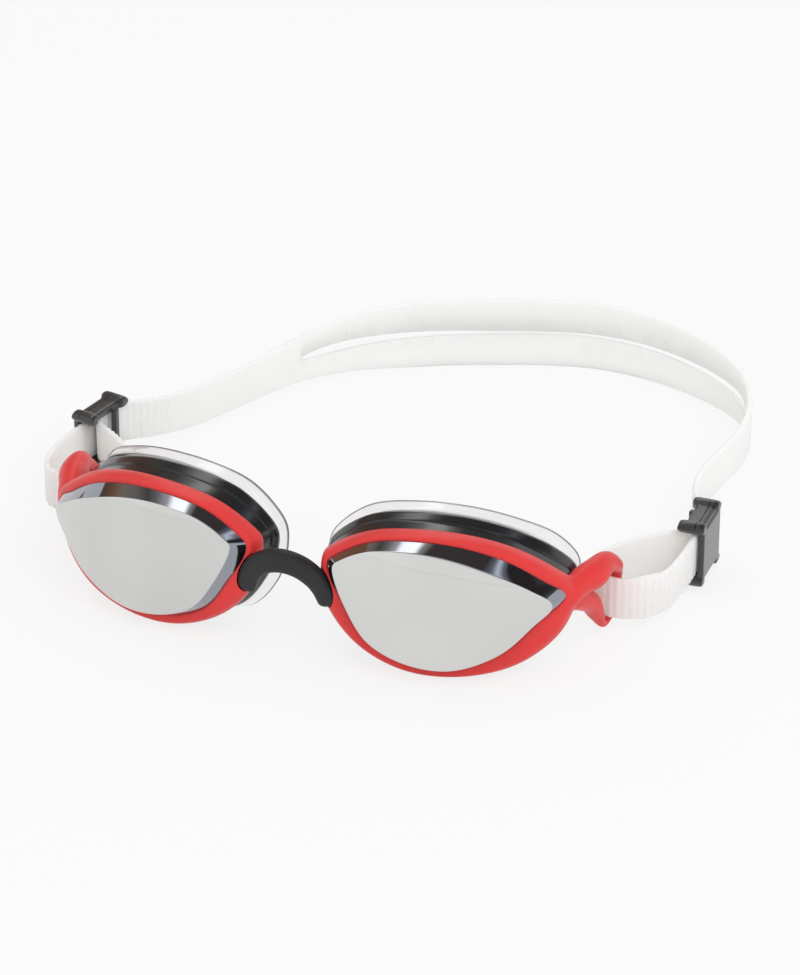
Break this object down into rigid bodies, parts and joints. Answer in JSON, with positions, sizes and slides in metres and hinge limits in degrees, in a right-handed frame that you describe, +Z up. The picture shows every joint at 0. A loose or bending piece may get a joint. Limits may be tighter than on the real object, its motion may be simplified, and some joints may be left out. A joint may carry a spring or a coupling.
{
  "type": "swim goggles",
  "caption": "Low-profile racing swim goggles: mirrored lenses in hooked rims with dark cups and clear seals, an arched nose bridge and a split silicone strap held by sliding clips",
  "frame": {"origin": "on the table, under the middle of the goggles' box as they lie", "axes": "+Z up, -Y the front of the lenses, +X the wearer's left, which is the viewer's right"},
  "size_m": [0.1847, 0.1871, 0.0422],
  "materials": {
    "lens": "silver mirrored polycarbonate",
    "rim": "smooth red moulding",
    "cup": "glossy dark moulding",
    "seal": "clear soft silicone",
    "bridge": "matt charcoal",
    "strap": "translucent white silicone",
    "buckle": "satin black moulding"
  },
  "bodies": {
    "right_eyepiece": {"right_lens": "lens", "right_rim": "rim", "right_cup": "cup", "right_seal": "seal", "nose_bridge": "bridge", "strap": "strap"},
    "left_eyepiece": {"left_lens": "lens", "left_rim": "rim", "left_cup": "cup", "left_seal": "seal"},
    "left_buckle": {"left_buckle": "buckle"},
    "right_buckle": {"right_buckle": "buckle"}
  },
  "joints": [
    {"name": "bridge_flex", "type": "hinge", "parent": "right_eyepiece", "child": "left_eyepiece", "pos_m": [0, -0.0897, 0.0283], "axis": [0, 0, 1], "range_deg": [-12, 12], "stiffness_Nm_per_rad": 0.05, "deforming": ["nose_bridge", "strap"]},
    {"name": "left_buckle_slide", "type": "slide", "parent": "left_eyepiece", "child": "left_buckle", "axis": [-0.0174, 0.9998, 0], "range_m": [-0.0035, 0.0045]},
    {"name": "right_buckle_slide", "type": "slide", "parent": "right_eyepiece", "child": "right_buckle", "axis": [0.2079, 0.9781, 0], "range_m": [-0.0035, 0.0045]}
  ]
}
